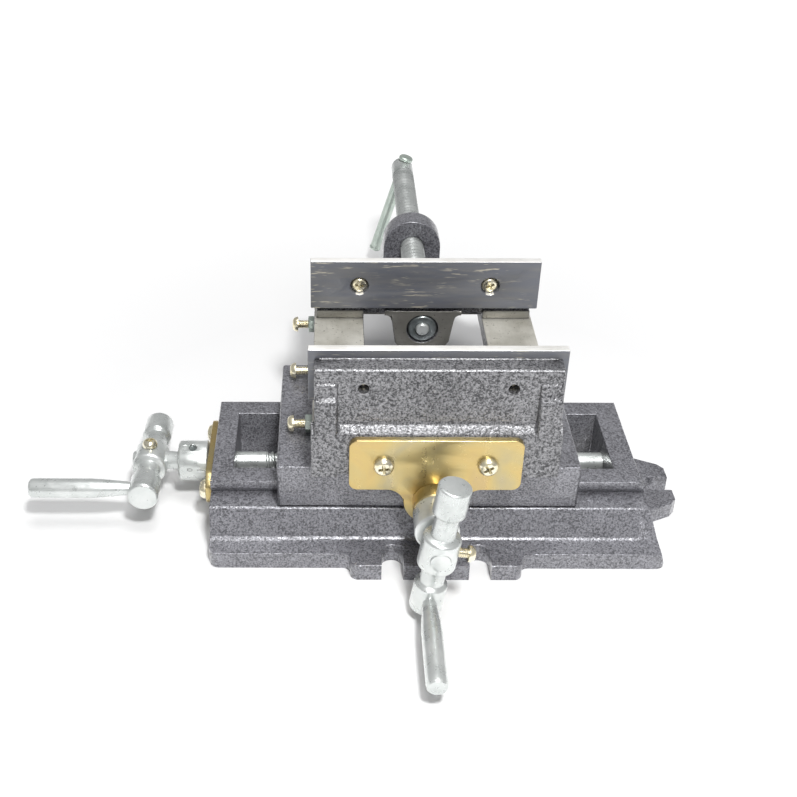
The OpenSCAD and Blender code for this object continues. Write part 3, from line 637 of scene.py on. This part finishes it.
sideRod = put(leadscrew(**leadLook["side"]), along((-1, 0, 0), (sideFace, 0, sideZ)))
makePiece(sideRod, "sideLeadscrew", "x_screw", ["x_leadscrew"], [bright])
frontRod = put(leadscrew(**leadLook["front"]), along((0, -1, 0), (bodyX, frontFace, frontZ)))
makePiece(frontRod, "frontLeadscrew", "y_screw", ["y_leadscrew"], [bright])
print("leadscrews made")


# dials with a zero mark, along local Z from the bracket outwards

dialLook = {"edge": 0.25, "widest": 0.3, "segments": 2, "radius": 8.8, "lift": 0.015, "size": 3.4,
            "zero": 7.4, "tick": (1.6, 4.6), "wide": 0.32,
            "turn": 164.0, "sideMark": 8.0, "frontMark": -60.0,
            "side": Matrix(((0, 0, -1, sideFace - 0.6), (-1, 0, 0, 0), (0, 1, 0, sideZ), (0, 0, 0, 1))),
            "front": Matrix(((1, 0, 0, bodyX), (0, 0, -1, frontFace - 7.5), (0, 1, 0, frontZ), (0, 0, 0, 1)))}


def wrap(bm, angle):  # bend flat marks round the dial, u goes round and v along it
    reach = dialLook["radius"] + dialLook["lift"]
    for v in bm.verts:
        around = angle + v.co.x / reach
        v.co = (reach * math.cos(around), reach * math.sin(around), v.co.y)
    bmesh.ops.recalc_face_normals(bm, faces=bm.faces)
    return bm


def dialMarks(degrees):
    letters = bpy.data.curves.new("zero", "FONT")
    letters.body = "0"
    letters.align_x = "CENTER"
    letters.align_y = "CENTER"
    letters.size = dialLook["size"]
    sign = addObject("zero", letters)
    mesh = sign.evaluated_get(bpy.context.evaluated_depsgraph_get()).to_mesh()
    bm = bmesh.new()
    bm.from_mesh(mesh)
    bpy.data.objects.remove(sign)
    bpy.data.curves.remove(letters)
    put(bm, Matrix.Translation((0, dialLook["zero"], 0)))
    low, high = dialLook["tick"]
    half = dialLook["wide"] / 2
    tick = [(-half, low), (half, low), (half, high), (-half, high)]
    bm.faces.new([bm.verts.new((u, v, 0)) for u, v in tick])
    for face in bm.faces:
        face.material_index = 1
    return wrap(bm, math.radians(degrees))


def turned(node, degrees):  # about the side leadscrew
    lift = Matrix.Translation((0, 0, sideZ))
    return put(cadCopy(node), lift @ swing(degrees, "X") @ lift.inverted())


sideDial = turned("x_dial", dialLook["turn"])
join(sideDial, put(dialMarks(dialLook["sideMark"]), dialLook["side"]))
makePiece(sideDial, "sideDial", "x_screw", ["x_dial"], [bright, mark], dialLook)
frontDial = cadCopy("y_dial")
join(frontDial, put(dialMarks(dialLook["frontMark"]), dialLook["front"]))
makePiece(frontDial, "frontDial", "y_screw", ["y_dial"], [bright, mark], dialLook)
sideDialScrew = turned("x_dial_screw", dialLook["turn"])
makePiece(sideDialScrew, "sideDialScrew", "x_screw", ["x_dial_screw"], [darkZinc])
print("dials made")


# cranks: arm along local Y, screw bore along Z

crankLook = {"reach": 22.0, "soft": 0.25, "stand": {"x": 7.7, "y": 11.1}, "screwSeat": 4.1,
             "arm": [(0, -29), (5.7, -29), (6.5, -28.2), (6.5, -16.5), (5.6, -15.6), (4.8, -15), (4.8, -7.8),
                     (6.9, -7.2), (7.5, -6.4), (7.5, 6.4), (6.9, 7.2), (4.8, 7.8), (4.8, 17.6), (5.8, 18.2),
                     (6.4, 19), (6.4, 30.4), (5.8, 31), (0, 31)],
             "grip": [(0, 5), (2.7, 5), (2.7, 6.7), (2.95, 7.4), (3.4, 12), (3.85, 17), (4.15, 22), (4.2, 30),
                      (4.2, 47), (4.0, 48.1), (3.4, 48.8), (2.4, 49), (0, 49)],
             "x": Matrix.Translation((sideFace - 26.0, 0, sideZ)) @ swing(-4, "X") @ swing(-90, "Y"),
             "y": Matrix.Translation((bodyX, frontFace - 29.5, frontZ)) @ swing(8, "Y") @ swing(90, "X")}
for axis, label in (("x", "side"), ("y", "front")):
    where = crankLook[axis]
    body = axis + "_screw"
    arm = lathe(crankLook["arm"], 72)
    put(bevelEdges(arm, sharpEdges(arm, 12), crankLook["soft"]), where @ swing(-90, "X"))
    makePiece(arm, label + "CrankArm", body, [axis + "_crank_arm"], [bright], smooth=30)
    grip = put(lathe(crankLook["grip"]), where @ Matrix.Translation((0, -crankLook["reach"], 0)))
    makePiece(grip, label + "CrankHandle", body, [axis + "_crank_handle"], [bright], smooth=30)
    stand = crankLook["stand"][axis]
    clamp = panScrew(2.0, stand - crankLook["screwSeat"], 3.3, 2.8, threadPitch=0.7)
    put(clamp, where @ along((1, 0, 0), (stand, 0, 0), 20))
    makePiece(clamp, label + "CrankScrew", body, [axis + "_crank_screw"], [pale], smooth=38)
print("cranks made")


# vise screw, its collar and the bar

spindleLook = {"radius": 6.0, "pitch": 3.5, "depth": 1.1, "axisZ": 60.0, "front": 66.0, "rear": 212.0,
               "lap": 0.3}
spindle = bmesh.new()
for cut, way in ((spindleLook["front"], 1), (spindleLook["rear"], -1)):  # the plain ends
    end = cadCopy("vise_screw")
    slicePlane(end, (0, cut, 0), (0, way, 0), 1e-5, True)
    bmesh.ops.holes_fill(end, edges=openEdges(end), sides=0)
    join(spindle, end)
ridge = thread(spindleLook["radius"], spindleLook["depth"], spindleLook["pitch"],
               spindleLook["front"] - spindleLook["lap"], spindleLook["rear"] + spindleLook["lap"], 36)
join(spindle, put(ridge, Matrix.Translation((bodyX, 0, spindleLook["axisZ"])) @ swing(-90, "X")))


def spindlePick(centre, normal):  # the thread is duller than the ends, and its root is painted dark: painted shade in the groove
    if not spindleLook["front"] < centre.y < spindleLook["rear"]:
        return 0
    reach = math.hypot(centre.x - bodyX, centre.z - spindleLook["axisZ"])
    return 2 if reach < spindleLook["radius"] - 0.6 * spindleLook["depth"] else 1


makePiece(spindle, "viseSpindle", "vise_spindle", ["vise_screw"], [bright, dull, darkZinc],
          pick=spindlePick)
barLook = {"edge": 0.3, "widest": 0.4, "segments": 2}
makePiece(cadCopy("nose_collar"), "noseCollar", "vise_spindle", ["nose_collar"], [darkZinc],
          barLook)
makePiece(cadCopy("tommy_bar"), "slidingBar", "tommy_bar", ["tommy_bar"], [olive], barLook)
print("spindle made")


# pieces that keep their CAD shape

for node, finish in (("x_gib", gibIron), ("y_gib", railIron), ("jaw_keepers", gibIron),
                     ("keeper_screws", yellow), ("x_nut", olive), ("x_nut_bolt", olive), ("y_nut", olive),
                     ("y_nut_bolt", olive), ("y_dial_screw", darkZinc)):
    nodes[node].data.materials.clear()
    nodes[node].data.materials.append(finish)
print("plain pieces finished")


# floor, light and camera

floorLook = {"size": 6.0, "pale": 0.92, "seen": 0.62, "near": 0.17, "far": 0.48, "glow": 1.3}


def paleFloor():  # darker to the camera, so that shadows show, and white further out
    f = Finish("paleFloor", Roughness=0.6, Specular_IOR_Level=0.0)
    drift = f.noise(2.0)
    seen = f.add("ShaderNodeLightPath")
    lit = f.ramp(drift, [(0.3, floorLook["pale"]), (0.7, floorLook["pale"] + 0.02)])
    shown = f.ramp(drift, [(0.3, floorLook["seen"]), (0.7, floorLook["seen"] + 0.01)])
    f.feed(Base_Color=f.mix(seen, lit, shown))
    away = f.add("ShaderNodeVectorMath", {"operation": "LENGTH"}, {0: f.place()}, 1)
    fade = f.ramp(away, [(floorLook["near"], 0.0), (floorLook["far"], 1.0)])
    glow = f.add("ShaderNodeEmission", {}, {"Color": (1, 1, 1, 1), "Strength": floorLook["glow"]})
    plain = Wire(f, f.shader.outputs[0])
    both = f.add("ShaderNodeMixShader", {}, {0: seen * fade, 1: plain, 2: glow})
    f.tree.links.new(both.socket, f.tree.nodes["Material Output"].inputs["Surface"])
    return f.material


floorBm = bmesh.new()
bmesh.ops.create_grid(floorBm, x_segments=1, y_segments=1, size=floorLook["size"])
floorMesh = bpy.data.meshes.new("floor")
floorBm.to_mesh(floorMesh)
floorBm.free()
floorMesh.materials.append(paleFloor())
floor = addObject("floor", floorMesh)

lightLook = {"sky": ((0.0, 0.36), (0.3, 0.40), (1.0, 0.46)), "aim": (0, 0, 0.04),
             "above": {"place": (0.0, 0.02, 1.0), "size": 0.42, "power": 4.2},
             "key": {"place": (0.10, -0.50, 0.86), "size": 0.12, "power": 10.0},
             "glint": {"place": (0.0, -0.78, 0.62), "size": 0.20, "power": 1.8}}
world = bpy.data.worlds.new("studio")
bpy.context.scene.world = world
world.use_nodes = True
sky = Shading(world.node_tree)
height = sky.add("ShaderNodeSeparateXYZ", {}, {0: sky.add("ShaderNodeTexCoord")}, 2)
band = sky.ramp(height, [(place, (level, level, level * 1.01)) for place, level in lightLook["sky"]])
tone = sky.mix(sky.add("ShaderNodeLightPath"), band, (1, 1, 1, 1))  # white where the camera sees it
world.node_tree.links.new(tone.socket, world.node_tree.nodes["Background"].inputs["Color"])

for name in ("above", "key", "glint"):
    look = lightLook[name]
    lamp = bpy.data.lights.new(name, "AREA")
    lamp.size = look["size"]
    lamp.energy = look["power"]
    holder = addObject(name, lamp)
    holder.location = look["place"]
    way = Vector(lightLook["aim"]) - Vector(look["place"])
    holder.rotation_euler = way.to_track_quat("-Z", "Y").to_euler()

cameraLook = {"place": (-0.0439, -0.4157, 0.3290), "turn": (56.13, 0.0, 0.29), "sensor": 36.0, "lens": 53.21,
              "shift": 0.0937}
camera = bpy.data.cameras.new("camera")
camera.sensor_width = cameraLook["sensor"]
camera.lens = cameraLook["lens"]
camera.shift_x = cameraLook["shift"]
eye = addObject("camera", camera)
eye.location = cameraLook["place"]
eye.rotation_euler = [math.radians(a) for a in cameraLook["turn"]]
bpy.context.scene.camera = eye
bpy.context.scene.view_settings.view_transform = "Standard"
print("stage set")
